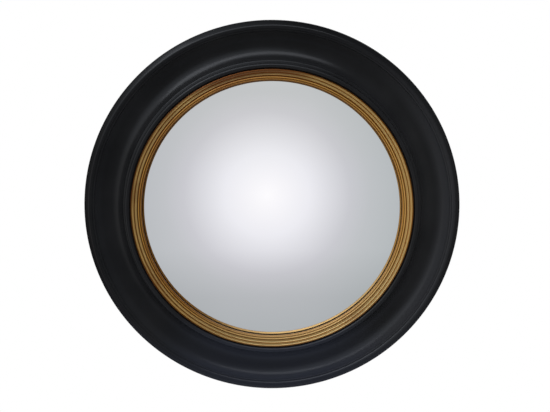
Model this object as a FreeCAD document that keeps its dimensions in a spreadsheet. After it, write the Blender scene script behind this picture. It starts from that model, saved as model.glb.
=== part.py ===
"""A round convex mirror in an ebonised wooden frame with a gilt reeded slip, to hang on a wall.

Seen from the front, +X is to the right, +Z is up, and the mirror faces -Y. The wall is the plane
Y = 0, and the origin is where the wall screw carries the mirror: at the closed end of the keyhole
in the hanger plate. Lengths are in millimetres and angles in degrees.

Each ring is drawn as its section: a radius from the mirror's axis and a height off the wall.
"""
import FreeCAD, Part
import math
import os

import Sketcher

V = FreeCAD.Vector
os.makedirs("parts", exist_ok=True)
doc = FreeCAD.newDocument("convex_mirror")

# ---------------------------------------------------------------- driving sizes
SIZES = [
    # the glass, and how far the slip laps over it
    ("glass_radius", 154.5, "radius of the glass disc"),
    ("glass_thickness", 3.0, "thickness of the glass"),
    ("crown_radius", 489.0, "radius of the sphere that the front of the glass is part of"),
    ("sight_overlap", 9.5, "how far the slip laps over the glass"),
    ("sight_glass_height", 26.9, "front of the glass at the sight edge, off the wall"),
    ("glass_clearance", 0.3, "gap round the glass, and before and behind it"),
    ("felt_thickness", 0.9, "felt between the slip and the glass"),
    ("felt_setback", 0.9, "felt kept back from the sight edge"),
    # the gilt slip
    ("sight_wall", 3.9, "sight edge above the glass"),
    ("sight_margin", 0.2, "flat between the sight edge and the first reed"),
    ("narrow_reed", 2.15, "width of each of the two inner reeds"),
    ("narrow_reed_radius", 1.15, "radius of the section of the inner reeds"),
    ("reed_quirk", 0.5, "width of the groove between the inner and outer reeds"),
    ("quirk_depth", 0.6, "depth of that groove below the reeds' feet"),
    ("wide_reed", 3.4, "width of each of the two outer reeds"),
    ("wide_reed_radius", 1.8, "radius of the section of the outer reeds"),
    ("slip_rise", 3.1, "rise of the slip's face from the sight edge to its outer edge"),
    ("slip_shoulder", 0.6, "bevel from the outer reed to the slip's side"),
    ("slip_flange", 5.6, "how far the flange stands out behind the moulding"),
    ("slip_flange_thickness", 4.0, "thickness of the flange"),
    ("slip_clearance", 0.3, "gap round the slip in the moulding"),
    # the ebonised moulding, from the slip outwards
    ("shoulder_height", 22.5, "shoulder that the slip's flange meets, off the wall"),
    ("bore_ledge", 1.1, "ledge between the slip and the inner bead"),
    ("ledge_drop", 1.2, "ledge below the inner bead's centre"),
    ("inner_bead_radius", 2.6, "section radius of the bead beside the slip"),
    ("inner_bead_height", 31.6, "centre of that bead, off the wall"),
    ("inner_fillet", 2.1, "width of the flat between the bead and the cove"),
    ("inner_fillet_rise", 0.7, "rise of that flat towards the bead"),
    ("cove_radius", 18.0, "section radius of the cove"),
    ("cove_inner_angle", 67.0, "turn of the cove from its floor to its inner end"),
    ("cove_outer_angle", 66.0, "turn of the cove from its floor to its outer end"),
    ("cove_floor", 3.0, "wood left under the cove, above the back ring"),
    ("lip_fillet", 1.85, "width of the flat between the cove and the lip"),
    ("lip_bead_radius", 3.1, "section radius of the lip's crest"),
    ("lip_height", 25.0, "crest of the lip, off the wall"),
    ("lip_inner_angle", 50.0, "turn of the lip's crest towards the cove"),
    ("lip_outer_angle", 45.0, "turn of the lip's crest towards the edge"),
    ("lip_bevel", 4.47, "width of the bevel outside the lip"),
    ("edge_height", 19.7, "front of the outer edge, off the wall"),
    ("edge_thickness", 3.0, "thickness of the outer edge"),
    ("edge_undercut", 10.0, "how far the back is undercut behind the outer edge"),
    ("arris_round", 0.8, "rounding of the moulding's arrises"),
    # the back ring and the backboard
    ("wall_gap", 5.0, "back of the frame off the wall, which is a bumper's thickness"),
    ("back_ring_thickness", 4.5, "thickness of the back ring"),
    ("back_ring_setback", 4.0, "back ring inside the foot of the undercut"),
    ("back_ring_chamfer", 2.0, "chamfer round the back ring"),
    ("board_ledge", 5.7, "ledge that the backboard rests on"),
    ("board_thickness", 4.2, "thickness of the backboard"),
    ("board_clearance", 0.3, "gap round the backboard"),
    # softwood blocks behind the glass
    ("block_count", 12.0, "blocks round the glass"),
    ("block_width", 16.0, "width of a block"),
    ("block_reach", 7.5, "how far a block reaches in behind the glass"),
    ("block_clearance", 0.6, "gap between a block and the round walls beside it"),
    # screws that hold the back ring, and pins that hold the slip
    ("ring_screw_count", 8.0, "screws through the back ring"),
    ("ring_screw_inset", 4.0, "those screws outside the backboard's rebate"),
    ("ring_screw_angle", 22.5, "angle of the first of those screws"),
    ("ring_screw_bite", 4.5, "how far those screws go into the moulding"),
    ("ring_screw_radius", 1.5, "shank radius of those screws"),
    ("ring_screw_head", 2.9, "head radius of those screws"),
    ("head_land", 0.3, "straight rim of a countersunk head"),
    ("screw_clearance", 0.05, "gap round a screw or pin in its hole"),
    ("head_flat", 0.7, "flat top of a round head, as a share of the head's radius"),
    ("screw_slot", 0.8, "width of a driver slot"),
    ("slot_depth", 0.6, "depth of a driver slot"),
    ("pin_count", 8.0, "pins through the slip's flange"),
    ("pin_angle", 7.5, "angle of the first pin"),
    ("pin_radius", 0.7, "radius of a pin"),
    ("pin_grip", 5.0, "how far a pin goes into the moulding"),
    ("pin_head_radius", 1.2, "head radius of a pin"),
    ("pin_head", 0.8, "thickness of a pin's head"),
    # turn buttons that hold the backboard
    ("button_count", 6.0, "turn buttons round the backboard"),
    ("button_inset", 8.0, "button's screw outside the backboard's rebate"),
    ("button_reach", 10.5, "from a button's screw to the centre of its tip"),
    ("button_round", 5.5, "radius of a button round its screw"),
    ("button_tip", 4.0, "radius of a button's tip"),
    ("button_thickness", 1.8, "thickness of a button"),
    ("button_play", 0.1, "gap below and above a button"),
    ("button_chamfer", 0.3, "chamfer round a button"),
    ("button_screw_radius", 1.6, "shank radius of a button's screw"),
    ("button_bore_clearance", 0.08, "gap round that screw in the button"),
    ("button_screw_head", 3.0, "head radius of a button's screw"),
    ("button_head_height", 1.4, "height of that head"),
    ("button_screw_bite", 2.0, "how far a button's screw goes into the moulding"),
    # hanger plate
    ("hang_inset", 17.5, "closed end of the keyhole outside the backboard's rebate"),
    ("keyhole_drop", 6.5, "round hole below the closed end of the keyhole"),
    ("keyhole_entry", 4.5, "radius of the round hole"),
    ("keyhole_slot", 2.2, "half the width of the keyhole's slot"),
    ("plate_width", 42.0, "width of the hanger plate"),
    ("plate_above", 7.0, "plate above the closed end of the keyhole"),
    ("plate_below", 14.0, "plate below the closed end of the keyhole"),
    ("plate_thickness", 1.2, "thickness of the plate"),
    ("plate_corner", 3.0, "corner radius of the plate"),
    ("hanger_screw_spread", 15.5, "hanger screws from the middle of the plate"),
    ("hanger_screw_radius", 1.4, "shank radius of a hanger screw"),
    ("hanger_screw_head", 2.7, "head radius of a hanger screw"),
    ("hanger_head_height", 1.2, "height of that head"),
    ("hanger_screw_bite", 1.5, "how far a hanger screw goes into the moulding"),
    ("pocket_margin", 1.2, "room round the wall screw's head behind the plate"),
    # wall bumpers
    ("bumper_radius", 8.0, "radius of a bumper"),
    ("bumper_round", 1.2, "rounding of a bumper's face"),
    ("bumper_inset", 12.0, "bumper's centre inside the back ring's edge"),
    ("bumper_angle", 45.0, "bumpers from the horizontal, below the middle"),
]

NEAR = 0.001  # places closer together than this are taken as the same

sizes = doc.addObject("Spreadsheet::Sheet", "Sizes")
for row, (alias, number, meaning) in enumerate(SIZES, start=1):
    sizes.set(f"A{row}", alias)
    sizes.set(f"B{row}", str(number))
    sizes.setAlias(f"B{row}", alias)
    sizes.set(f"C{row}", meaning)
doc.recompute()


def number_of(expression):
    """What an expression on the sheet comes to now."""
    return float(sizes.evalExpression(expression))


# ---------------------------------------------------------------- places worked out from the sizes
# Radii from the mirror's axis.
SIGHT = "(Sizes.glass_radius - Sizes.sight_overlap)"
FIRST_REED = f"({SIGHT} + Sizes.sight_margin)"
QUIRK_IN = f"({FIRST_REED} + 2 * Sizes.narrow_reed)"
QUIRK_OUT = f"({QUIRK_IN} + Sizes.reed_quirk)"
SLIP_FACE = f"({QUIRK_OUT} + 2 * Sizes.wide_reed)"
SLIP_SIDE = f"({SLIP_FACE} + Sizes.slip_shoulder)"
SLIP_RIM = f"({SLIP_SIDE} + Sizes.slip_flange)"
GLASS_CUP = "(Sizes.glass_radius + Sizes.glass_clearance)"
BORE = f"({SLIP_SIDE} + Sizes.slip_clearance)"
BEAD_IN = f"({BORE} + Sizes.bore_ledge)"
BEAD_MIDDLE = f"({BEAD_IN} + Sizes.inner_bead_radius)"
BEAD_OUT = f"({BEAD_MIDDLE} + Sizes.inner_bead_radius)"
COVE_IN = f"({BEAD_OUT} + Sizes.inner_fillet)"
COVE_MIDDLE = f"({COVE_IN} + Sizes.cove_radius * sin(Sizes.cove_inner_angle))"
COVE_OUT = f"({COVE_MIDDLE} + Sizes.cove_radius * sin(Sizes.cove_outer_angle))"
LIP_IN = f"({COVE_OUT} + Sizes.lip_fillet)"
LIP_MIDDLE = f"({LIP_IN} + Sizes.lip_bead_radius * sin(Sizes.lip_inner_angle))"
LIP_OUT = f"({LIP_MIDDLE} + Sizes.lip_bead_radius * sin(Sizes.lip_outer_angle))"
OUTER = f"({LIP_OUT} + Sizes.lip_bevel)"
FOOT = f"({OUTER} - Sizes.edge_undercut)"
REBATE = f"({SLIP_RIM} + Sizes.slip_clearance)"
BOARD_REBATE = f"({REBATE} + Sizes.board_ledge)"
BOARD_RIM = f"({BOARD_REBATE} - Sizes.board_clearance)"
BACK_RIM = f"({FOOT} - Sizes.back_ring_setback)"
RING_SCREWS = f"({BOARD_REBATE} + Sizes.ring_screw_inset)"
BUTTONS = f"({BOARD_REBATE} + Sizes.button_inset)"
BUMPERS = f"({BACK_RIM} - Sizes.bumper_inset)"
PINS = f"(({SLIP_SIDE} + {SLIP_RIM}) / 2)"
HANG = f"({BOARD_REBATE} + Sizes.hang_inset)"

# Heights off the wall.
BACK = "Sizes.wall_gap"
JOINT = "(Sizes.wall_gap + Sizes.back_ring_thickness)"
COVE_CENTRE = f"({JOINT} + Sizes.cove_floor + Sizes.cove_radius)"
COVE_IN_HEIGHT = f"({COVE_CENTRE} - Sizes.cove_radius * cos(Sizes.cove_inner_angle))"
COVE_OUT_HEIGHT = f"({COVE_CENTRE} - Sizes.cove_radius * cos(Sizes.cove_outer_angle))"
LIP_CENTRE = "(Sizes.lip_height - Sizes.lip_bead_radius)"
LIP_IN_HEIGHT = f"({LIP_CENTRE} + Sizes.lip_bead_radius * cos(Sizes.lip_inner_angle))"
LIP_OUT_HEIGHT = f"({LIP_CENTRE} + Sizes.lip_bead_radius * cos(Sizes.lip_outer_angle))"
SIGHT_TOP = "(Sizes.sight_glass_height + Sizes.sight_wall)"
FLANGE_BACK = "(Sizes.shoulder_height - Sizes.slip_flange_thickness)"
CROWN_CENTRE = f"(Sizes.sight_glass_height - sqrt(Sizes.crown_radius ^ 2 - {SIGHT} ^ 2))"


def glass_front(radius):
    """Height of the front of the glass at a radius."""
    return f"({CROWN_CENTRE} + sqrt(Sizes.crown_radius ^ 2 - ({radius}) ^ 2))"


def glass_back(radius):
    """Height of the back of the glass at a radius."""
    inner = "(Sizes.crown_radius - Sizes.glass_thickness)"
    return f"({CROWN_CENTRE} + sqrt({inner} ^ 2 - ({radius}) ^ 2))"


def slip_face(radius):
    """Height of the feet of the reeds at a radius, on the slope from the sight edge."""
    run = f"(({radius}) - {SIGHT}) / ({SLIP_FACE} - {SIGHT})"
    return f"({SIGHT_TOP} + Sizes.slip_rise * {run})"


# ---------------------------------------------------------------- helpers
def new_body(label):
    """A piece in the frame's coordinates, lowered so that the origin is at the wall screw."""
    body = doc.addObject("PartDesign::Body", label)
    body.Label = label
    body.setExpression("Placement.Base.z", f"-{HANG}")
    return body


def origin_feature(body, role):
    """One of the body's own planes or axes."""
    return [item for item in body.Origin.OriginFeatures if item.Role == role][0]


def new_sketch(body, name, plane, x="0", y="0", z="0"):
    """A sketch on one of the body's planes, moved by x, y and z in the plane's own directions."""
    sketch = body.newObject("Sketcher::SketchObject", name)
    sketch.AttachmentSupport = [(origin_feature(body, plane), "")]
    sketch.MapMode = "FlatFace"
    for axis, distance in zip("xyz", (x, y, z)):
        sketch.setExpression(f"AttachmentOffset.Base.{axis}", distance)
    return sketch


def pin_point(sketch, geometry, end, x, y):
    """Ties one end of a line or arc to its place on the sheet."""
    for kind, axis_line, place in (("DistanceX", -2, x), ("DistanceY", -1, y)):
        if place == "0":
            sketch.addConstraint(Sketcher.Constraint("PointOnObject", geometry, end, axis_line))
            continue
        rule = Sketcher.Constraint(kind, -1, 1, geometry, end, number_of(place))
        sketch.setExpression(f"Constraints[{sketch.addConstraint(rule)}]", place)


def arc_between(start, end, radius, turn):
    """The shorter arc from start to end, and which of its ends is at the start.

    turn is +1 where the arc bends to the left on its way, and -1 where it bends to the right.
    """
    chord = end - start
    reach = math.sqrt(max(radius ** 2 - (chord.Length / 2) ** 2, 0.0))
    left = V(-chord.y, chord.x, 0).normalize()
    centre = (start + end) / 2 + left * reach * turn
    angles = [math.atan2(point.y - centre.y, point.x - centre.x) for point in (start, end)]
    if turn < 0:
        angles.reverse()
    if angles[1] < angles[0]:
        angles[1] += 2 * math.pi
    circle = Part.Circle(centre, V(0, 0, 1), radius)
    return Part.ArcOfCircle(circle, *angles), (1 if turn > 0 else 2)


def draw(sketch, corners):
    """Draws a closed outline whose every corner and radius is tied to the sheet.

    A corner is (x, y), or (x, y, radius, turn) where an arc leads on from it to the next.
    """
    places = [V(number_of(corner[0]), number_of(corner[1]), 0) for corner in corners]
    ends = []
    for index, corner in enumerate(corners):
        start, end = places[index], places[(index + 1) % len(places)]
        if len(corner) == 2:
            geometry = sketch.addGeometry(Part.LineSegment(start, end), False)
            first = 1
        else:
            radius = number_of(corner[2])
            arc, first = arc_between(start, end, radius, corner[3])
            geometry = sketch.addGeometry(arc, False)
            rule = Sketcher.Constraint("Radius", geometry, radius)
            sketch.setExpression(f"Constraints[{sketch.addConstraint(rule)}]", corner[2])
        ends.append((geometry, first, 3 - first))
    for index, corner in enumerate(corners):
        geometry, first, _ = ends[index]
        before, _, last = ends[index - 1]
        sketch.addConstraint(Sketcher.Constraint("Coincident", before, last, geometry, first))
        pin_point(sketch, geometry, first, corner[0], corner[1])


def draw_circle(sketch, radius):
    """Draws a circle round the sketch's own origin."""
    circle = Part.Circle(V(0, 0, 0), V(0, 0, 1), number_of(radius))
    geometry = sketch.addGeometry(circle, False)
    sketch.addConstraint(Sketcher.Constraint("Coincident", geometry, 3, -1, 1))
    rule = Sketcher.Constraint("Radius", geometry, number_of(radius))
    sketch.setExpression(f"Constraints[{sketch.addConstraint(rule)}]", radius)


def section(corners):
    """Turns corners given as radius and height off the wall into a sketch's x and y."""
    return [(corner[0], f"-({corner[1]})") + corner[2:] for corner in corners]


def spin(body, name, corners, kind="PartDesign::Revolution", x="0", z="0"):
    """Turns a section about an axis square to the wall, as a solid or as a groove."""
    sketch = new_sketch(body, f"{name}_section", "XY_Plane", x=x, z=z)
    draw(sketch, section(corners))
    doc.recompute()
    before = None if kind.endswith("Revolution") else body.Shape.Volume
    feature = body.newObject(kind, name)
    feature.Profile = sketch
    feature.ReferenceAxis = (sketch, ["V_Axis"])
    feature.Angle = 360
    doc.recompute()
    if before is not None and not feature.Shape.Volume < before:
        raise RuntimeError(f"{name} cuts nothing")
    return feature


def cut_from_back(body, name, draw_outline, depth, x="0", z="0", height=BACK):
    """A pocket cut forwards, away from the wall, from a given height."""
    sketch = new_sketch(body, f"{name}_outline", "XZ_Plane", x=x, y=z, z=height)
    draw_outline(sketch)
    doc.recompute()
    before = body.Shape.Volume
    feature = body.newObject("PartDesign::Pocket", name)
    feature.Profile = sketch
    feature.Reversed = True
    feature.setExpression("Length", depth)
    doc.recompute()
    if not feature.Shape.Volume < before:
        raise RuntimeError(f"{name} cuts nothing")
    return feature


def raise_from_back(body, name, draw_outline, thickness, height):
    """A pad that grows forwards, away from the wall, from a given height."""
    sketch = new_sketch(body, f"{name}_outline", "XZ_Plane", z=height)
    draw_outline(sketch)
    doc.recompute()
    feature = body.newObject("PartDesign::Pad", name)
    feature.Profile = sketch
    feature.setExpression("Length", thickness)
    doc.recompute()
    return feature


def repeat_round(body, name, features, count):
    """Repeats features evenly round the mirror's axis."""
    pattern = body.newObject("PartDesign::PolarPattern", name)
    pattern.Originals = features
    pattern.Axis = (origin_feature(body, "Y_Axis"), [""])
    pattern.Angle = 360
    pattern.setExpression("Occurrences", count)
    body.Tip = pattern
    doc.recompute()
    return pattern


def mirror_across(body, name, features):
    """Repeats features on the other side of the mirror's middle."""
    copy = body.newObject("PartDesign::Mirrored", name)
    copy.Originals = features
    copy.MirrorPlane = (origin_feature(body, "YZ_Plane"), [""])
    body.Tip = copy
    doc.recompute()
    return copy


def circles_at(shape, places):
    """Names of the full-circle edges at the given radii and heights."""
    names = []
    for number, edge in enumerate(shape.Edges, start=1):
        if edge.Curve.TypeId != "Part::GeomCircle":
            continue
        for radius, height in places:
            near_radius = abs(edge.Curve.Radius - number_of(radius)) < NEAR
            near_height = abs(edge.Curve.Center.y + number_of(height)) < NEAR
            if near_radius and near_height:
                names.append(f"Edge{number}")
    return names


def round_off(body, name, places, radius):
    """Rounds the circular arrises at the given radii and heights."""
    base = body.Tip
    feature = body.newObject("PartDesign::Fillet", name)
    feature.Base = (base, circles_at(base.Shape, places))
    feature.setExpression("Radius", radius)
    doc.recompute()
    return feature


def drop_to(angle, radius):
    """x and z of a place at a radius and an angle, counted from +X towards +Z."""
    return f"{radius} * cos({angle})", f"{radius} * sin({angle})"


# ---------------------------------------------------------------- screws, pins and their holes
def countersunk(back, head, shank, length, gap="0"):
    """Section of a countersunk screw whose head is flush at the height back."""
    rim = f"{back} + Sizes.head_land"
    neck = f"{rim} + {head} - {shank}"
    tip = f"{back} + {length}"
    return [
        ("0", back),
        (f"{head} + {gap}", back),
        (f"{head} + {gap}", rim),
        (f"{shank} + {gap}", neck),
        (f"{shank} + {gap}", f"{tip} - {shank}"),
        ("0", f"{tip} + {gap}"),
    ]


def pan_head(seat, head, head_height, shank, length):
    """Section of a round-headed screw whose head rests at the height seat."""
    edge = f"{seat} - {head_height} / 2"
    tip = f"{seat} + {length}"
    return [
        ("0", f"{seat} - {head_height}"),
        (f"{head} * Sizes.head_flat", f"{seat} - {head_height}"),
        (head, edge),
        (head, seat),
        (shank, seat),
        (shank, f"{tip} - {shank}"),
        ("0", tip),
    ]


def screw_hole(seat, shank, length):
    """Section of the hole for a round-headed screw, from the height seat inwards."""
    wall = f"{shank} + Sizes.screw_clearance"
    tip = f"{seat} + {length}"
    return [
        ("0", seat),
        (wall, seat),
        (wall, f"{tip} - {shank}"),
        ("0", f"{tip} + Sizes.screw_clearance"),
    ]


def pin_section():
    """Section of a slip pin, its head under the flange and its point in the moulding."""
    tip = "(Sizes.shoulder_height + Sizes.pin_grip)"
    return [
        ("0", f"{FLANGE_BACK} - Sizes.pin_head"),
        ("Sizes.pin_head_radius", f"{FLANGE_BACK} - Sizes.pin_head"),
        ("Sizes.pin_head_radius", FLANGE_BACK),
        ("Sizes.pin_radius", FLANGE_BACK),
        ("Sizes.pin_radius", f"{tip} - Sizes.pin_radius"),
        ("0", tip),
    ]


def pin_hole():
    """Section of the hole that a slip pin passes through."""
    wall = "Sizes.pin_radius + Sizes.screw_clearance"
    tip = "(Sizes.shoulder_height + Sizes.pin_grip)"
    return [
        ("0", FLANGE_BACK),
        (wall, FLANGE_BACK),
        (wall, f"{tip} - Sizes.pin_radius"),
        ("0", f"{tip} + Sizes.screw_clearance"),
    ]


RING_SCREW_LENGTH = f"({JOINT} - {BACK} + Sizes.ring_screw_bite)"
RING_SCREW = ("Sizes.ring_screw_head", "Sizes.ring_screw_radius", RING_SCREW_LENGTH)
RING_SCREW_PLACE = drop_to("Sizes.ring_screw_angle", RING_SCREWS)
PIN_PLACE = drop_to("Sizes.pin_angle", PINS)
BUTTON_SEAT = f"({BACK} - Sizes.button_thickness - 2 * Sizes.button_play)"
BUTTON_HEAD = ("Sizes.button_screw_head", "Sizes.button_head_height")
BUTTON_SCREW_LENGTH = f"({JOINT} - {BUTTON_SEAT} + Sizes.button_screw_bite)"
BUTTON_SHANK = ("Sizes.button_screw_radius", BUTTON_SCREW_LENGTH)
HANGER_SEAT = f"({BACK} - Sizes.plate_thickness)"
HANGER_HEAD = ("Sizes.hanger_screw_head", "Sizes.hanger_head_height")
HANGER_SCREW_LENGTH = f"({JOINT} - {HANGER_SEAT} + Sizes.hanger_screw_bite)"
HANGER_SHANK = ("Sizes.hanger_screw_radius", HANGER_SCREW_LENGTH)
PLATE_MIDDLE = f"({HANG} + (Sizes.plate_above - Sizes.plate_below) / 2)"
HANGER_PLACE = ("Sizes.hanger_screw_spread", PLATE_MIDDLE)


def drill(body):
    """Bores the holes that the back ring and the moulding share."""
    screw = spin(body, "screw_hole", countersunk(BACK, *RING_SCREW, "Sizes.screw_clearance"),
                 "PartDesign::Groove", *RING_SCREW_PLACE)
    repeat_round(body, "screw_holes", [screw], "Sizes.ring_screw_count")
    button = spin(body, "button_hole", screw_hole(BUTTON_SEAT, *BUTTON_SHANK),
                  "PartDesign::Groove", BUTTONS)
    repeat_round(body, "button_holes", [button], "Sizes.button_count")
    hanger = spin(body, "hanger_hole", screw_hole(HANGER_SEAT, *HANGER_SHANK),
                  "PartDesign::Groove", *HANGER_PLACE)
    mirror_across(body, "hanger_holes", [hanger])


def driver_slot(body, name, head, height, x, z):
    """A straight driver slot across a screw head whose top is at the given height."""
    def outline(sketch):
        half_width, half_length = "Sizes.screw_slot / 2", f"({head} + Sizes.screw_slot)"
        draw(sketch, [
            (f"-{half_length}", f"-({half_width})"),
            (half_length, f"-({half_width})"),
            (half_length, half_width),
            (f"-{half_length}", half_width),
        ])
    return cut_from_back(body, name, outline, "Sizes.slot_depth", x, z, height)


# ---------------------------------------------------------------- the frame
def moulding_ring():
    """The turned front of the frame: lip, deep cove, fillet and the bead beside the slip."""
    body = new_body("moulding_ring")
    bead, cove, lip = "Sizes.inner_bead_radius", "Sizes.cove_radius", "Sizes.lip_bead_radius"
    bead_centre = "Sizes.inner_bead_height"
    ledge = f"{bead_centre} - Sizes.ledge_drop"
    fillet_foot = f"({COVE_IN_HEIGHT} + Sizes.inner_fillet_rise)"
    edge_back = "(Sizes.edge_height - Sizes.edge_thickness)"
    spin(body, "turning", [
        (BORE, "Sizes.shoulder_height"),
        (BORE, ledge),
        (BEAD_IN, ledge),
        (BEAD_IN, bead_centre, bead, +1),
        (BEAD_MIDDLE, f"{bead_centre} + {bead}", bead, +1),
        (BEAD_OUT, bead_centre),
        (BEAD_OUT, fillet_foot),
        (COVE_IN, COVE_IN_HEIGHT, cove, -1),
        (COVE_OUT, COVE_OUT_HEIGHT),
        (LIP_IN, COVE_OUT_HEIGHT),
        (LIP_IN, LIP_IN_HEIGHT, lip, +1),
        (LIP_OUT, LIP_OUT_HEIGHT),
        (OUTER, "Sizes.edge_height"),
        (OUTER, edge_back),
        (FOOT, JOINT),
        (REBATE, JOINT),
        (REBATE, "Sizes.shoulder_height"),
    ])
    round_off(body, "soft_arrises", [
        (COVE_IN, COVE_IN_HEIGHT),
        (OUTER, "Sizes.edge_height"),
        (OUTER, edge_back),
    ], "Sizes.arris_round")
    drill(body)
    pin = spin(body, "pin_hole", pin_hole(), "PartDesign::Groove", *PIN_PLACE)
    repeat_round(body, "pin_holes", [pin], "Sizes.pin_count")
    return body


def back_ring():
    """The flat ring behind the moulding: it makes the backboard's rebate."""
    body = new_body("back_ring")
    chamfer = "Sizes.back_ring_chamfer"
    spin(body, "ring", [
        (BOARD_REBATE, BACK),
        (f"{BACK_RIM} - {chamfer}", BACK),
        (BACK_RIM, f"{BACK} + {chamfer}"),
        (BACK_RIM, JOINT),
        (BOARD_REBATE, JOINT),
    ])
    drill(body)
    room = "(Sizes.keyhole_entry + Sizes.pocket_margin)"

    def head_room(sketch):
        draw(sketch, [
            (f"-{room}", "-Sizes.keyhole_drop", room, +1),
            ("0", f"-Sizes.keyhole_drop - {room}", room, +1),
            (room, "-Sizes.keyhole_drop"),
            (room, "0", room, +1),
            ("0", room, room, +1),
            (f"-{room}", "0"),
        ])
    cut_from_back(body, "head_pocket", head_room, "Sizes.back_ring_thickness", z=HANG)
    return body


def ring_screws():
    """Countersunk screws through the back ring into the moulding."""
    body = new_body("ring_screws")
    screw = spin(body, "screw", countersunk(BACK, *RING_SCREW), x=RING_SCREW_PLACE[0],
                 z=RING_SCREW_PLACE[1])
    slot = driver_slot(body, "slot", RING_SCREW[0], BACK, *RING_SCREW_PLACE)
    repeat_round(body, "screws", [screw, slot], "Sizes.ring_screw_count")
    return body


# ---------------------------------------------------------------- the gilt slip
def gilt_slip():
    """The reeded gilt ring at the sight edge, with the cup for the glass behind it."""
    body = new_body("gilt_slip")
    narrow, wide = "Sizes.narrow_reed_radius", "Sizes.wide_reed_radius"
    second = f"({FIRST_REED} + Sizes.narrow_reed)"
    fourth = f"({QUIRK_OUT} + Sizes.wide_reed)"
    seat = "(Sizes.felt_thickness + 2 * Sizes.glass_clearance)"
    quirk = "Sizes.quirk_depth"
    spin(body, "turning", [
        (SIGHT, f"{glass_front(SIGHT)} + {seat}"),
        (SIGHT, SIGHT_TOP),
        (FIRST_REED, slip_face(FIRST_REED), narrow, +1),
        (second, slip_face(second), narrow, +1),
        (QUIRK_IN, slip_face(QUIRK_IN)),
        (QUIRK_IN, f"{slip_face(QUIRK_IN)} - {quirk}"),
        (QUIRK_OUT, f"{slip_face(QUIRK_IN)} - {quirk}"),
        (QUIRK_OUT, slip_face(QUIRK_OUT), wide, +1),
        (fourth, slip_face(fourth), wide, +1),
        (SLIP_FACE, slip_face(SLIP_FACE)),
        (SLIP_SIDE, f"{slip_face(SLIP_FACE)} - Sizes.slip_shoulder"),
        (SLIP_SIDE, "Sizes.shoulder_height"),
        (SLIP_RIM, "Sizes.shoulder_height"),
        (SLIP_RIM, FLANGE_BACK),
        (GLASS_CUP, FLANGE_BACK),
        (GLASS_CUP, f"{glass_front(GLASS_CUP)} + {seat}"),
    ])
    pin = spin(body, "pin_hole", pin_hole(), "PartDesign::Groove", *PIN_PLACE)
    repeat_round(body, "pin_holes", [pin], "Sizes.pin_count")
    return body


def slip_pins():
    """Panel pins through the slip's flange into the moulding's shoulder."""
    body = new_body("slip_pins")
    pin = spin(body, "pin", pin_section(), x=PIN_PLACE[0], z=PIN_PLACE[1])
    repeat_round(body, "pins", [pin], "Sizes.pin_count")
    return body


# ---------------------------------------------------------------- the glass and what holds it
def mirror_glass():
    """The convex silvered glass, a cap of a thin sphere."""
    body = new_body("mirror_glass")
    back_radius = "(Sizes.crown_radius - Sizes.glass_thickness)"
    rim = "Sizes.glass_radius"
    spin(body, "cap", [
        ("0", glass_back("0")),
        ("0", glass_front("0"), "Sizes.crown_radius", +1),
        (rim, glass_front(rim)),
        (rim, glass_back(rim), back_radius, -1),
    ])
    return body


def seat_felt():
    """The felt ring that the slip presses on the glass."""
    body = new_body("seat_felt")
    inner = f"({SIGHT} + Sizes.felt_setback)"
    outer = f"({GLASS_CUP} - Sizes.glass_clearance)"
    gap, thickness = "Sizes.glass_clearance", "Sizes.felt_thickness"
    spin(body, "ring", [
        (inner, f"{glass_front(inner)} + {gap}"),
        (inner, f"{glass_front(inner)} + {gap} + {thickness}"),
        (outer, f"{glass_front(outer)} + {gap} + {thickness}"),
        (outer, f"{glass_front(outer)} + {gap}"),
    ])
    return body


def glass_blocks():
    """Softwood blocks glued round the rebate, which hold the glass against the slip."""
    body = new_body("glass_blocks")
    inner = "(Sizes.glass_radius - Sizes.block_reach)"
    step = f"({GLASS_CUP} - Sizes.block_clearance)"
    outer = f"({REBATE} - Sizes.block_clearance)"
    gap = "Sizes.glass_clearance"
    sketch = new_sketch(body, "block_section", "XY_Plane")
    draw(sketch, section([
        (inner, JOINT),
        (inner, f"{glass_back(inner)} - {gap}"),
        (step, f"{glass_back(step)} - {gap}"),
        (step, FLANGE_BACK),
        (outer, FLANGE_BACK),
        (outer, JOINT),
    ]))
    doc.recompute()
    block = body.newObject("PartDesign::Pad", "block")
    block.Profile = sketch
    block.Midplane = True
    block.setExpression("Length", "Sizes.block_width")
    doc.recompute()
    repeat_round(body, "blocks", [block], "Sizes.block_count")
    return body


def backboard():
    """The thin plywood disc that closes the back, flush with the back ring."""
    body = new_body("backboard")
    back = f"({JOINT} - Sizes.board_thickness)"
    spin(body, "disc", [
        ("0", back),
        ("0", JOINT),
        (BOARD_RIM, JOINT),
        (BOARD_RIM, back),
    ])
    return body


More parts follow.
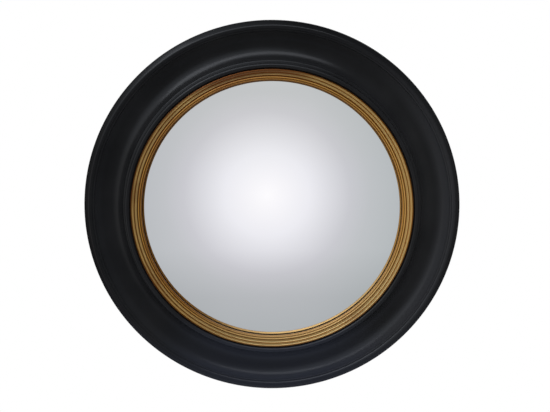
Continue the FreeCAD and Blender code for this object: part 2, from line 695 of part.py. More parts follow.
# ---------------------------------------------------------------- turn buttons
def turn_button(number):
    """A metal button that turns about its own screw to hold or free the backboard.

    It is drawn with its screw at the body's own origin and its tip towards the mirror's axis.
    """
    body = new_body(f"turn_button_{number}")
    angle = f"({number - 1} * 360 / Sizes.button_count)"
    x, z = drop_to(angle, BUTTONS)
    body.Placement = FreeCAD.Placement(V(0, 0, 0), FreeCAD.Rotation(V(0, -1, 0), 0))
    body.setExpression("Placement.Rotation.Angle", angle)
    body.setExpression("Placement.Base.x", x)
    body.setExpression("Placement.Base.z", f"{z} - {HANG}")
    wide, tip, reach = "Sizes.button_round", "Sizes.button_tip", "Sizes.button_reach"
    lean = f"acos(({wide} - {tip}) / {reach})"
    low = f"({BACK} - Sizes.button_thickness - Sizes.button_play)"

    def outline(sketch):
        draw(sketch, [
            (wide, "0", wide, +1),
            (f"-{wide} * cos({lean})", f"{wide} * sin({lean})"),
            (f"-{reach} - {tip} * cos({lean})", f"{tip} * sin({lean})", tip, +1),
            (f"-{reach} - {tip} * cos({lean})", f"-{tip} * sin({lean})"),
            (f"-{wide} * cos({lean})", f"-{wide} * sin({lean})", wide, +1),
        ])
    raise_from_back(body, "blank", outline, "Sizes.button_thickness", low)
    blank = body.Tip
    rims = [
        f"Edge{index}"
        for index, edge in enumerate(blank.Shape.Edges, start=1)
        if edge.BoundBox.YLength < NEAR and abs(edge.BoundBox.YMax + number_of(low)) < NEAR
    ]
    chamfer = body.newObject("PartDesign::Chamfer", "eased_rim")
    chamfer.Base = (blank, rims)
    chamfer.setExpression("Size", "Sizes.button_chamfer")
    doc.recompute()

    def bore(sketch):
        draw_circle(sketch, "Sizes.button_screw_radius + Sizes.button_bore_clearance")
    cut_from_back(body, "bore", bore, "Sizes.button_thickness", height=low)
    return body


def button_screws():
    """Round-headed screws that the turn buttons turn on."""
    body = new_body("button_screws")
    top = f"{BUTTON_SEAT} - Sizes.button_head_height"
    screw = spin(body, "screw", pan_head(BUTTON_SEAT, *BUTTON_HEAD, *BUTTON_SHANK), x=BUTTONS)
    slot = driver_slot(body, "slot", BUTTON_HEAD[0], top, BUTTONS, "0")
    repeat_round(body, "screws", [screw, slot], "Sizes.button_count")
    return body


# ---------------------------------------------------------------- hanging it
def hanger_plate():
    """The steel plate with the keyhole that drops over the wall screw."""
    body = new_body("hanger_plate")
    corner = "Sizes.plate_corner"
    side = "(Sizes.plate_width / 2)"
    top = f"({HANG} + Sizes.plate_above)"
    bottom = f"({HANG} - Sizes.plate_below)"

    def outline(sketch):
        draw(sketch, [
            (side, f"{bottom} + {corner}"),
            (side, f"{top} - {corner}", corner, +1),
            (f"{side} - {corner}", top),
            (f"-({side} - {corner})", top, corner, +1),
            (f"-{side}", f"{top} - {corner}"),
            (f"-{side}", f"{bottom} + {corner}", corner, +1),
            (f"-({side} - {corner})", bottom),
            (f"{side} - {corner}", bottom, corner, +1),
        ])
    raise_from_back(body, "plate", outline, "Sizes.plate_thickness", HANGER_SEAT)
    slot, entry, drop = "Sizes.keyhole_slot", "Sizes.keyhole_entry", "Sizes.keyhole_drop"
    mouth = f"(-{drop} + sqrt({entry} ^ 2 - {slot} ^ 2))"

    def keyhole(sketch):
        draw(sketch, [
            (slot, mouth),
            (slot, "0", slot, +1),
            ("0", slot, slot, +1),
            (f"-{slot}", "0"),
            (f"-{slot}", mouth, entry, +1),
            (f"-{entry}", f"-{drop}", entry, +1),
            ("0", f"-{drop} - {entry}", entry, +1),
            (entry, f"-{drop}", entry, +1),
        ])
    cut_from_back(body, "keyhole", keyhole, "Sizes.plate_thickness", z=HANG,
                  height=HANGER_SEAT)

    def clearance_hole(sketch):
        draw_circle(sketch, "Sizes.hanger_screw_radius + Sizes.screw_clearance")
    hole = cut_from_back(body, "screw_hole", clearance_hole, "Sizes.plate_thickness",
                         *HANGER_PLACE, HANGER_SEAT)
    mirror_across(body, "screw_holes", [hole])
    return body


def hanger_screws():
    """The two screws of the hanger plate."""
    body = new_body("hanger_screws")
    top = f"{HANGER_SEAT} - Sizes.hanger_head_height"
    screw = spin(body, "screw", pan_head(HANGER_SEAT, *HANGER_HEAD, *HANGER_SHANK),
                 x=HANGER_PLACE[0], z=HANGER_PLACE[1])
    slot = driver_slot(body, "slot", HANGER_HEAD[0], top, *HANGER_PLACE)
    mirror_across(body, "screws", [screw, slot])
    return body


def bumper(side, angle):
    """A rubber disc that keeps the bottom of the frame off the wall."""
    body = new_body(f"bumper_{side}")
    x, z = drop_to(angle, BUMPERS)
    radius, rounding = "Sizes.bumper_radius", "Sizes.bumper_round"
    spin(body, "disc", [
        ("0", "0"),
        (f"{radius} - {rounding}", "0", rounding, -1),
        (radius, rounding),
        (radius, BACK),
        ("0", BACK),
    ], x=x, z=z)
    return body


# ---------------------------------------------------------------- build, test and write
pieces = [
    moulding_ring(),
    back_ring(),
    ring_screws(),
    gilt_slip(),
    slip_pins(),
    seat_felt(),
    mirror_glass(),
    glass_blocks(),
    backboard(),
]
button_count = int(number_of("Sizes.button_count"))
pieces += [turn_button(number) for number in range(1, button_count + 1)]
pieces += [
    button_screws(),
    hanger_plate(),
    hanger_screws(),
    bumper("left", "-180 + Sizes.bumper_angle"),
    bumper("right", "-Sizes.bumper_angle"),
]
doc.recompute()

for item in doc.Objects:
    if "Invalid" in item.State or "Error" in item.State:
        raise RuntimeError(f"{item.Label} failed: {item.State}")
for piece in pieces:
    if piece.Shape.isNull() or not piece.Shape.isValid():
        raise RuntimeError(f"{piece.Label} has no valid shape")

for piece in pieces:
    piece.Shape.exportStep(f"parts/{piece.Label}.step")
    print(f"{piece.Label}: {len(piece.Shape.Solids)} solid(s), {piece.Shape.Volume / 1000:.2f} cm3")
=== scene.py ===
# %% [markdown]
# # A round convex mirror in an ebonised frame
# This notebook dresses a wall mirror: a black turned frame, a gilt reeded slip inside it, and a glass
# that bulges towards the room. The CAD model comes first and stays where it is. It is in metres, the
# mirror faces -Y, the wall is the plane Y = 0, and the origin is where the wall screw carries it.
# Each cell then either gives a CAD piece its finish or puts a finer mesh of the same shape in its place.

import math

import bmesh
import bpy
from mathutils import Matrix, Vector, noise


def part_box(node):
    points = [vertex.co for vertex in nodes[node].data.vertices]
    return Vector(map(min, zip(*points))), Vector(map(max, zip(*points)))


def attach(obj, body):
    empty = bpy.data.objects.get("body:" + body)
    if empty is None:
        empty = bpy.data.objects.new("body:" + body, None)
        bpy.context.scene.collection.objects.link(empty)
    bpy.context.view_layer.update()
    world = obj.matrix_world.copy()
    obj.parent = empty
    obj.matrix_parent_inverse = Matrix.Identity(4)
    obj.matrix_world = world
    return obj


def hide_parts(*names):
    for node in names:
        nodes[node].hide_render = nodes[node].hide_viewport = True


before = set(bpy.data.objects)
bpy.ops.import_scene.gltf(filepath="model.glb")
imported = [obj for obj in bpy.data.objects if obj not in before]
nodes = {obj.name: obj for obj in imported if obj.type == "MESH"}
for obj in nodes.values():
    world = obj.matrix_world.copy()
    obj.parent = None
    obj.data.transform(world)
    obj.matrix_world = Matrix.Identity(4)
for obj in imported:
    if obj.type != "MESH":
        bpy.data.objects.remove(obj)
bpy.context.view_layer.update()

# %% [markdown]
# ## The mirror's axis
# A turned frame is easiest to describe the way a wood turner does: by how far each point is from the
# axis, and how high it stands off the wall. The glass is centred on that axis, so its box tells us
# where the axis is. Radii and heights below are in millimetres, as on a drawing, and become metres only
# when a mesh is made.

# %% Find the axis
MM = 0.001
glass_low, glass_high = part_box("mirror_glass")
AXIS_HEIGHT = (glass_low[2] + glass_high[2]) / 2
print("axis height:", round(AXIS_HEIGHT, 4))

# %% [markdown]
# ## Outlines
# An outline is a list of (radius, height) points. Two small helpers draw what a turner's gouge leaves:
# arcs for beads and coves, and a soft corner where two cuts meet. Perfectly sharp corners never catch
# light, so a frame without softened corners looks drawn instead of made.

# %% Draw arcs
def arc(radius, height, size, first, last, steps):
    """Points on an arc. Angle 0 points away from the axis, and 90 away from the wall."""
    angles = [math.radians(first + (last - first) * step / steps) for step in range(steps + 1)]
    return [(radius + size * math.cos(a), height + size * math.sin(a)) for a in angles]


print("a half round in 4 steps:", [(round(x, 2), round(y, 2)) for x, y in arc(0, 0, 1, 180, 0, 4)])

# %% [markdown]
# A corner is softened by a short curve that leaves one side and meets the other without a kink. The
# formula is a quadratic Bezier curve with the old corner as its middle handle. Blender's bevel tool could
# round the mesh instead, but here it is simpler to round the outline before it is turned.

# %% Soften corners
def soften(outline, corners, size, steps=4):
    """Replaces the named corners of a closed outline by short curves that start `size` before them."""
    soft = []
    for index, point in enumerate(outline):
        if point not in corners:
            soft.append(point)
            continue
        corner = Vector(point)
        before = Vector(outline[index - 1]) - corner
        after = Vector(outline[(index + 1) % len(outline)]) - corner
        start = corner + before.normalized() * size
        end = corner + after.normalized() * size
        for step in range(steps + 1):
            t = step / steps
            soft.append(tuple(start * (1 - t) ** 2 + corner * 2 * t * (1 - t) + end * t ** 2))
    return soft


square = [(0, 0), (4, 0), (4, 4), (0, 4)]
print("points of a square with one soft corner:", len(soften(square, [(4, 4)], 1)))

# %% [markdown]
# ## The lathe
# Spinning an outline round an axis is how the real ring is turned, and Blender's spin does the same in
# one call. 256 steps keep the outside of a 420 mm ring round to a fiftieth of a millimetre. The mesh's
# own origin is put on the mirror's axis, so that the finishes can later use the distance from it.
# Faces are shaded smooth, and only edges sharper than 35 degrees stay crisp.

# %% Spin an outline into a piece
STEPS_ROUND = 256
CRISP = math.radians(35)


def turn(name, outline, stands_for, closed=True):
    """Turns an outline into a ring or disc that replaces a CAD piece and moves with the frame."""
    form = bmesh.new()
    points = [form.verts.new((radius * MM, -height * MM, 0)) for radius, height in outline]
    pairs = zip(points, points[1:] + points[:1]) if closed else zip(points, points[1:])
    edges = [form.edges.new(pair) for pair in pairs]
    bmesh.ops.spin(form, geom=points + edges, cent=(0, 0, 0), axis=(0, 1, 0),
                   angle=math.tau, steps=STEPS_ROUND, use_merge=True)
    bmesh.ops.remove_doubles(form, verts=form.verts, dist=0.002 * MM)
    bmesh.ops.recalc_face_normals(form, faces=form.faces)
    mesh = bpy.data.meshes.new(name)
    form.to_mesh(mesh)
    form.free()
    mesh.shade_smooth()
    mesh.set_sharp_from_angle(angle=CRISP)
    piece = bpy.data.objects.new(name, mesh)
    piece.location.z = AXIS_HEIGHT
    bpy.context.collection.objects.link(piece)
    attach(piece, "frame")
    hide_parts(stands_for)
    print(name, "faces:", len(mesh.polygons))
    return piece


print("steps round:", STEPS_ROUND, "crisp above:", round(math.degrees(CRISP)), "degrees")

# %% [markdown]
# ## The ebonised moulding
# The front of the frame is one turned ring. From the outside in it has a bevelled edge, a small rounded
# lip, one deep cove, a narrow sloping flat, and a fat bead beside the gold. The numbers are the CAD
# section's, so the mesh fits its CAD piece, but the cove gets many more points, because a long soft
# reflection runs through it and shows every flat.

# %% Turn the moulding
BORE, REBATE, SHOULDER = 157.7, 163.3, 22.5
JOINT = 9.5
LEDGE = 30.4
OUTER = 210.0
BEAD = arc(161.4, 31.6, 2.6, 180, 0, 20)
COVE = arc(182.67, 30.5, 18.0, 203, 336, 64)
LIP = arc(203.34, 21.9, 3.1, 140, 45, 14)
COVE_EDGE, FRONT_EDGE, BACK_EDGE = COVE[0], (OUTER, 19.7), (OUTER, 16.7)
COVE_END, LIP_STEP = COVE[-1], (200.96, COVE[-1][1])
BORE_EDGE, BEAD_FOOT, FOOT = (BORE, LEDGE), (BEAD[-1][0], 24.17), (200.0, JOINT)

ARRIS, CRISP_ARRIS = 0.8, 0.25

section = [(BORE, SHOULDER), BORE_EDGE, (BEAD[0][0], LEDGE)]
section += BEAD + [BEAD_FOOT] + COVE + [LIP_STEP] + LIP
section += [FRONT_EDGE, BACK_EDGE, FOOT, (REBATE, JOINT), (REBATE, SHOULDER)]
section = soften(section, [COVE_EDGE, FRONT_EDGE, BACK_EDGE], ARRIS)
section = soften(section, [BORE_EDGE, COVE_END, FOOT], CRISP_ARRIS)
moulding = turn("ebonised_moulding", section, "moulding_ring")

# %% [markdown]
# ## The gilt slip
# A slip is the small gilt frame between the moulding and the glass. This one has four reeds, which are
# rounded ridges: two narrow ones next to the glass and two wide ones outside them, with a deeper groove
# between the pairs. Its face rises outwards, so from above the lower reeds catch the light. The back is
# a cup that holds the glass, and a flange that is pinned behind the moulding. A reed is an arc between
# two feet, and the arc's centre follows from its feet and its size, so only those need to be given.

# %% Draw the reeds
SIGHT, FACE, SIDE = 145.0, 156.8, 157.4
SIGHT_TOP, FACE_RISE = 30.8, 3.1
NARROW, WIDE = [145.2, 147.35, 149.5], [150.0, 153.4, 156.8]
NARROW_SIZE, WIDE_SIZE = 1.15, 1.8


def foot(radius):
    """Where the reeds stand: a line that rises from the sight edge to the outer edge."""
    return radius, SIGHT_TOP + FACE_RISE * (radius - SIGHT) / (FACE - SIGHT)


def reed(inner, outer, size, steps=14):
    """A round ridge from one foot to the next, drawn from the inside out."""
    start, end = Vector(foot(inner)), Vector(foot(outer))
    chord = end - start
    reach = math.sqrt(size ** 2 - (chord.length / 2) ** 2)
    centre = (start + end) / 2 + Vector((chord.y, -chord.x)).normalized() * reach
    first = math.degrees(math.atan2(start.y - centre.y, start.x - centre.x))
    last = math.degrees(math.atan2(end.y - centre.y, end.x - centre.x))
    return arc(centre.x, centre.y, size, first, last, steps)


print("slip reeds:", len(NARROW) - 1, "narrow and", len(WIDE) - 1, "wide")

# %% [markdown]
# The slip's seat has to follow the glass, which is part of a sphere. So the height of the glass comes
# first, as a function of the radius, and the slip's cup is drawn a fixed distance in front of it. The
# felt lies in that gap.

# %% Turn the slip
GLASS_CURVE = 489.0
CROWN_CENTRE = 26.9 - math.sqrt(GLASS_CURVE ** 2 - SIGHT ** 2)


def glass_front(radius):
    """Height of the front of the glass."""
    return CROWN_CENTRE + math.sqrt(GLASS_CURVE ** 2 - radius ** 2)


SEAT = 1.5
CUP, RIM, FLANGE_BACK = 154.8, 163.0, 18.5
QUIRK_FLOOR, SIDE_TOP = foot(NARROW[2])[1] - 0.6, foot(FACE)[1] - 0.6
slip_section = [(SIGHT, glass_front(SIGHT) + SEAT), (SIGHT, SIGHT_TOP)]
slip_section += reed(NARROW[0], NARROW[1], NARROW_SIZE) + reed(NARROW[1], NARROW[2], NARROW_SIZE)[1:]
slip_section += [(NARROW[2], QUIRK_FLOOR), (WIDE[0], QUIRK_FLOOR)]
slip_section += reed(WIDE[0], WIDE[1], WIDE_SIZE, 18) + reed(WIDE[1], WIDE[2], WIDE_SIZE, 18)[1:]
slip_section += [(SIDE, SIDE_TOP), (SIDE, SHOULDER), (RIM, SHOULDER), (RIM, FLANGE_BACK)]
slip_section += [(CUP, FLANGE_BACK), (CUP, glass_front(CUP) + SEAT)]
slip = turn("gilt_reeded_slip", slip_section, "gilt_slip")

# %% [markdown]
# Gesso is brushed on and rubbed down by hand, so no reed is perfectly round. Moving each point of the
# face by a few hundredths of a millimetre, with a smooth noise, breaks the highlights the way the real
# ones are broken. A bump in the material would do it too, but real geometry also holds in the mesh.

# %% Make the gesso uneven
UNEVEN, FACE_ONLY = 0.05 * MM, 30 * MM
LONG_WAVES, SHORT_WAVES = 45, 160
for vertex in slip.data.vertices:
    if -vertex.co.y > FACE_ONLY:
        vertex.co.y += UNEVEN * noise.noise(vertex.co * LONG_WAVES)
        vertex.co.y += UNEVEN * 0.5 * noise.noise(vertex.co * SHORT_WAVES)
print("slip face uneven by up to", round(1.5 * UNEVEN / MM, 3), "mm")

# %% [markdown]
# ## The convex glass
# The glass is a cap of a sphere with a radius of 489 mm, three millimetres thick and silvered behind.
# A mirror shows the shape of its surface more clearly than anything else does, so the cap has a ring of
# faces every 2 mm, with smooth shading.

# %% Turn the glass
GLASS_RADIUS, GLASS_THICKNESS, RINGS = 154.5, 3.0, 78


def glass_back(radius):
    """Height of the back of the glass."""
    return CROWN_CENTRE + math.sqrt((GLASS_CURVE - GLASS_THICKNESS) ** 2 - radius ** 2)


radii = [GLASS_RADIUS * step / RINGS for step in range(RINGS + 1)]
glass_section = [(radius, glass_front(radius)) for radius in radii]
glass_section += [(radius, glass_back(radius)) for radius in reversed(radii)]
glass = turn("convex_glass", glass_section, "mirror_glass", closed=False)

# %% [markdown]
# ## Making finishes
# Every finish below is a small network of nodes that ends in one Principled shader. A few helpers keep
# the cells short. The first adds a node and wires its inputs, the second starts a finish, and the third
# puts it on a piece. A number that is the same all over a surface is typed into the shader, and only
# what varies gets wired.

# %% Start a finish
def add(tree, kind, settings=None, **inputs):
    """Adds a node. settings are its own options; inputs are numbers, colours or other nodes' outputs."""
    node = tree.nodes.new(f"ShaderNode{kind}")
    for option, choice in (settings or {}).items():
        setattr(node, option, choice)
    for label, value in inputs.items():
        wanted = label.replace("_", " ")
        socket = next(s for s in node.inputs if s.name == wanted and s.enabled)
        if isinstance(value, bpy.types.NodeSocket):
            tree.links.new(value, socket)
        else:
            socket.default_value = value
    return node


def new_finish(name):
    """A new material, its node tree and its Principled shader."""
    material = bpy.data.materials.new(name)
    material.use_nodes = True
    tree = material.node_tree
    print("new finish:", name)
    return material, tree, tree.nodes["Principled BSDF"]


def dress(piece, material):
    """Gives a piece its finish in place of the one it came with."""
    piece.data.materials.clear()
    piece.data.materials.append(material)
    print(piece.name, "is finished in", material.name)


print("helpers that start a finish:", [step.__name__ for step in (add, new_finish, dress)])

# %% [markdown]
# The next helpers are the tools that a finish is drawn with. A ramp turns a number into a colour, a
# spread stretches it, a rise is a soft step, and a mix lays one colour over another. Writing them once
# means that a finish can be read as a recipe.

# %% Ramps, steps and mixes
def colours(tree, factor, stops):
    """A colour ramp with the given (place, colour) stops."""
    ramp = add(tree, "ValToRGB", Fac=factor)
    elements = ramp.color_ramp.elements
    while len(elements) < len(stops):
        elements.new(1.0)
    for element, (place, colour) in zip(elements, stops):
        element.position = place
        element.color = (*colour, 1.0)
    return ramp.outputs["Color"]


def spread(tree, value, low, high):
    """Stretches a value between 0 and 1 to lie between low and high."""
    return add(tree, "MapRange", Value=value, To_Min=low, To_Max=high).outputs["Result"]


def rise(tree, value, start, end, top=1.0):
    """Rises smoothly from 0, where the value is start, to top, where it is end."""
    return add(tree, "MapRange", {"interpolation_type": "SMOOTHSTEP"}, Value=value,
               From_Min=start, From_Max=end, To_Max=top).outputs["Result"]


def mix(tree, share, under, over):
    """Lays one colour over another. share is how much of the upper one shows."""
    return add(tree, "MixRGB", Fac=share, Color1=under, Color2=over).outputs["Color"]


def combine(tree, kind, operation, first, second):
    """Joins two inputs by one operation. kind is Math for numbers and VectorMath for colours."""
    node = add(tree, kind, {"operation": operation})
    for socket, value in zip(node.inputs, (first, second)):
        if isinstance(value, bpy.types.NodeSocket):
            tree.links.new(value, socket)
        else:
            socket.default_value = value
    return node.outputs["Value" if kind == "Math" else "Vector"]


print("helpers that draw a finish:", [step.__name__ for step in (colours, spread, rise, mix, combine)])

# %% [markdown]
# On a turned ring a finish changes in two ways: across the ring and round it. The distance from the
# axis says where on the section a point is. Its direction from the axis says where round the ring, and
# how far that leans to one side is a dot product. The object's own coordinates give both, since each
# turned mesh has its origin on the axis.

# %% Places across and round the ring
def round_the_axis(tree, place):
    """A point's distance from the mirror's axis, and its direction from it as (right, up, 0)."""
    split = add(tree, "SeparateXYZ", Vector=place).outputs
    flat = add(tree, "CombineXYZ", X=split["X"], Y=split["Z"]).outputs["Vector"]
    distance = add(tree, "VectorMath", {"operation": "LENGTH"}, Vector=flat).outputs["Value"]
    outwards = add(tree, "VectorMath", {"operation": "NORMALIZE"}, Vector=flat).outputs["Vector"]
    return distance, outwards


def lean(tree, direction, side):
    """How far a direction leans to a side: 1 along it, 0 across it and -1 away from it."""
    dot = add(tree, "VectorMath", {"operation": "DOT_PRODUCT"}, Vector=direction)
    dot.inputs[1].default_value = side
    return dot.outputs["Value"]


def by_radius(tree, distance, stops):
    """Greys across a ring, from (radius in mm, grey) stops that go outwards."""
    inner, outer = stops[0][0], stops[-1][0]
    share = add(tree, "MapRange", Value=distance, From_Min=inner * MM, From_Max=outer * MM)
    places = [((radius - inner) / (outer - inner), (grey, grey, grey)) for radius, grey in stops]
    return colours(tree, share.outputs["Result"], places)


print("helpers that find a place:", [step.__name__ for step in (round_the_axis, lean, by_radius)])

# %% [markdown]
# ## Ebonised wood
# Ebonising is a black stain under a thin polish. Up close the black isn't even: the pores drink more
# stain, and the polish is thinner in some places, so its shine comes and goes. A large soft noise
# changes the black and the roughness, and a fine one makes the pores, which are also a faint bump.

# %% Stain and polish the moulding
DEEP_BLACK, THIN_BLACK = (0.0108, 0.0108, 0.0109), (0.0146, 0.0146, 0.0147)
ebony, tree, shader = new_finish("ebonised_wood")
place = add(tree, "TexCoord").outputs["Object"]
cloud = add(tree, "TexNoise", Vector=place, Scale=22.0, Detail=3.0).outputs["Fac"]
pores = add(tree, "TexNoise", Vector=place, Scale=1500.0, Detail=2.0).outputs["Fac"]
black = colours(tree, cloud, [(0.3, DEEP_BLACK), (0.7, THIN_BLACK)])
tree.links.new(spread(tree, cloud, 0.20, 0.28), shader.inputs["Roughness"])
shader.inputs["Specular IOR Level"].default_value = 0.26
pore_bump = add(tree, "Bump", Strength=0.08, Distance=0.00006, Height=pores)
tree.links.new(pore_bump.outputs["Normal"], shader.inputs["Normal"])

# %% [markdown]
# The black also changes over the ring, in painted light and shade. A painted grey sheen lies low on the
# right, outside the floor of the cove, and the black is painted lighter and bluer towards the bottom, as
# painted light. Across the ring, the steep end of the cove is painted lighter than its floor, against the
# shade it lies in, and the bevelled edge is painted darker, as painted shade. Painting these by hand would
# need an unwrapped mesh. A mask made from the place on the ring does without, so the masks are
# laid over the black one after another.

# %% Paint light and shade on the black
PAINTED_SHEEN, LIT_RIGHT_SIDE = (0.0215, 0.0215, 0.0222, 1), (0.94, -0.34, 0.0)
PAINTED_BLUE_LIGHT, DOWN = (0.0180, 0.0195, 0.0245, 1), (0.0, -1.0, 0.0)
SHADING_ACROSS = [(180, 1.0), (189.9, 1.04), (193.5, 1.32), (197.1, 1.44), (199.5, 1.04),
                (203.4, 0.84), (205.8, 0.48), (210, 0.40)]
distance, outwards = round_the_axis(tree, place)
# painted sheen: the black is lighter grey low on the right, outside the cove floor
right_part = rise(tree, lean(tree, outwards, LIT_RIGHT_SIDE), 0.05, 0.8)
outer_part = rise(tree, distance, 182 * MM, 193 * MM)
painted_sheen = combine(tree, "Math", "MULTIPLY", right_part, outer_part)
black = mix(tree, painted_sheen, black, PAINTED_SHEEN)
# painted light: the black turns lighter and bluer towards the bottom
black = mix(tree, rise(tree, lean(tree, outwards, DOWN), 0.70, 1.0), black, PAINTED_BLUE_LIGHT)
# painted light and shade across the ring: the steep end of the cove lighter, the bevel darker
painted_shading = by_radius(tree, distance, SHADING_ACROSS)
black = combine(tree, "VectorMath", "MULTIPLY", black, painted_shading)
tree.links.new(black, shader.inputs["Base Color"])
dress(moulding, ebony)

# %% [markdown]
# ## Gilding
# Gold leaf or bronze powder lies over a red-brown clay called bole. It is rubbed through in places and
# toned with brown glaze, which stays in the grooves. The finish first says how bare of glaze each
# place is, as a number that also carries painted light: low in the grooves and down the sight edge, for
# glaze and painted shade, and high on the crests, for rubbed gold and a painted highlight. The wide reeds
# are set paler still, as a painted highlight.

# %% Place the toning, painted highlights and painted shade across the reeds
GROOVE_TONE_AND_SHADE, SIGHT_TONE_AND_SHADE = 0.08, 0.42
CREST_TONES_AND_HIGHLIGHTS = (0.52, 0.68, 1.0, 0.90)
GROOVE_HALF, CREST_START = 0.25, 0.85
gilt, tree, shader = new_finish("gilt_gesso")
place = add(tree, "TexCoord").outputs["Object"]
distance, outwards = round_the_axis(tree, place)
stops = [(SIGHT, SIGHT_TONE_AND_SHADE)]
reeds = [*zip(NARROW, NARROW[1:]), *zip(WIDE, WIDE[1:])]
# grooves and sight edge get glaze with painted shade, crests rubbed gold with a painted highlight
for (inner, outer), crest_tone_and_highlight in zip(reeds, CREST_TONES_AND_HIGHLIGHTS):
    stops += [(inner + GROOVE_HALF, GROOVE_TONE_AND_SHADE), (inner + CREST_START, crest_tone_and_highlight)]
    stops += [(outer - CREST_START, crest_tone_and_highlight), (outer - GROOVE_HALF, GROOVE_TONE_AND_SHADE)]
bareness_and_painted_light = by_radius(tree, distance, stops)
print("toning stops:", len(stops))

# %% [markdown]
# Low on the right every place is made a little barer, which is painted light on the side that the
# light falls on. The sum is clamped, because nothing can be barer than bare. Where the gold is bare at the
# bottom, a paler olive is laid over it as a painted sheen.

# %% Paint light on the gold low on the right
GOLD_LIT_SIDE, OLIVE_SHEEN_SIDE = (0.906, -0.423, 0.0), (0.31, -0.95, 0.0)
# painted light: the gold is barer, so paler, low on the right
gold_lit_share = add(tree, "MapRange", Value=lean(tree, outwards, GOLD_LIT_SIDE),
            From_Min=-0.35, From_Max=0.95, To_Max=0.17).outputs["Result"]
sum_node = add(tree, "Math", {"operation": "ADD", "use_clamp": True}, Value=gold_lit_share)
tree.links.new(bareness_and_painted_light, sum_node.inputs[1])
bareness_and_painted_light = sum_node.outputs["Value"]
# painted sheen: a paler olive over the bare gold at the bottom
low_part = rise(tree, lean(tree, outwards, OLIVE_SHEEN_SIDE), 0.45, 0.95, 0.50)
olive_sheen_share = combine(tree, "Math", "MULTIPLY", low_part, bareness_and_painted_light)
print("nodes so far:", len(tree.nodes))

# %% [markdown]
# Bareness now picks the colour, from glaze with painted shade to a pale gold that is also a painted
# highlight. Two things bring in the bole colour: slow noise wears the gold through in patches, and on
# the outer reeds near the top one stretch is painted dark red-brown as painted shade, where the bead
# shades them.

# %% Mix the gold, the bole and the painted shade
GLAZE_AND_SHADE, ORANGE = (0.09, 0.030, 0.004), (0.34, 0.125, 0.012)
GOLD, PALE_GOLD_HIGHLIGHT = (0.86, 0.46, 0.10), (1.0, 0.69, 0.25)
OLIVE_SHEEN, BOLE_AND_SHADE = (0.72, 0.60, 0.29, 1), (0.26, 0.085, 0.018, 1)
SHADED_SIDE, ALL = (-0.165, 0.986, 0.0), (1, 1, 1, 1)
# the ramp runs from glaze with painted shade to pale gold that is a painted highlight
gold = colours(tree, bareness_and_painted_light, [(0.0, GLAZE_AND_SHADE), (0.35, ORANGE), (0.7, GOLD), (1.0, PALE_GOLD_HIGHLIGHT)])
gold = mix(tree, olive_sheen_share, gold, OLIVE_SHEEN)
patches = add(tree, "TexNoise", Vector=place, Scale=14.0, Detail=4.0).outputs["Fac"]
wear_and_shade = add(tree, "MapRange", Value=patches, From_Min=0.52, From_Max=0.72, To_Max=0.6).outputs["Result"]
# painted shade: a red-brown stretch on the outer reeds near the top, where the bead shades them
shaded_part = rise(tree, lean(tree, outwards, SHADED_SIDE), 0.87, 0.985, 0.85)
outer_reeds = add(tree, "MapRange", Value=distance, From_Min=149.0 * MM, From_Max=153.5 * MM)
shaded_stretch = combine(tree, "Math", "MULTIPLY", shaded_part, outer_reeds.outputs["Result"])
wear_and_shade = mix(tree, shaded_stretch, wear_and_shade, ALL)
tree.links.new(mix(tree, wear_and_shade, gold, BOLE_AND_SHADE), shader.inputs["Base Color"])
print("nodes that make the gold:", len(tree.nodes))

# %% [markdown]
# Old gilding is neither fully metal nor fully paint, so the shader's Metallic lies in between. The
# rubbed crests have the soft gleam of wax, which is a coat that grows with bareness. Fine noise mottles
# the roughness, and gives the gesso its grain in the bump.

# %% Burnish the slip
mottle = add(tree, "TexNoise", Vector=place, Scale=420.0, Detail=3.0).outputs["Fac"]
shader.inputs["Metallic"].default_value = 0.62
tree.links.new(spread(tree, bareness_and_painted_light, 0.0, 0.7), shader.inputs["Coat Weight"])
shader.inputs["Coat Roughness"].default_value = 0.25
tree.links.new(spread(tree, mottle, 0.26, 0.38), shader.inputs["Roughness"])
gesso_bump = add(tree, "Bump", Strength=0.25, Distance=0.00008, Height=mottle)
tree.links.new(gesso_bump.outputs["Normal"], shader.inputs["Normal"])
dress(slip, gilt)

# %% [markdown]
# ## Silvered glass
# A mirror is a metal film seen through glass. One fully metallic surface with no roughness gives the
# same picture. Glass takes a little red out of what it shows, and old silvering is never quite even,
# so the colour drifts very slightly over the surface.

# %% Silver the glass
silver, tree, shader = new_finish("silvered_glass")
place = add(tree, "TexCoord").outputs["Object"]
drift = add(tree, "TexNoise", Vector=place, Scale=9.0, Detail=2.0).outputs["Fac"]
tint = colours(tree, drift, [(0.3, (0.975, 0.980, 0.985)), (0.7, (0.990, 0.990, 1.000))])
tree.links.new(tint, shader.inputs["Base Color"])
shader.inputs["Metallic"].default_value = 1.0
shader.inputs["Roughness"].default_value = 0.0
dress(glass, silver)

# %% [markdown]
# ## Wood on the back
# Nobody sees the back until the mirror comes off the wall, and it is finished to match: a plywood ring
# stained black, a bare plywood board with its grain running up and down, and pine blocks inside. One
# recipe serves all three. Stretching the noise along Z draws it out into grain.

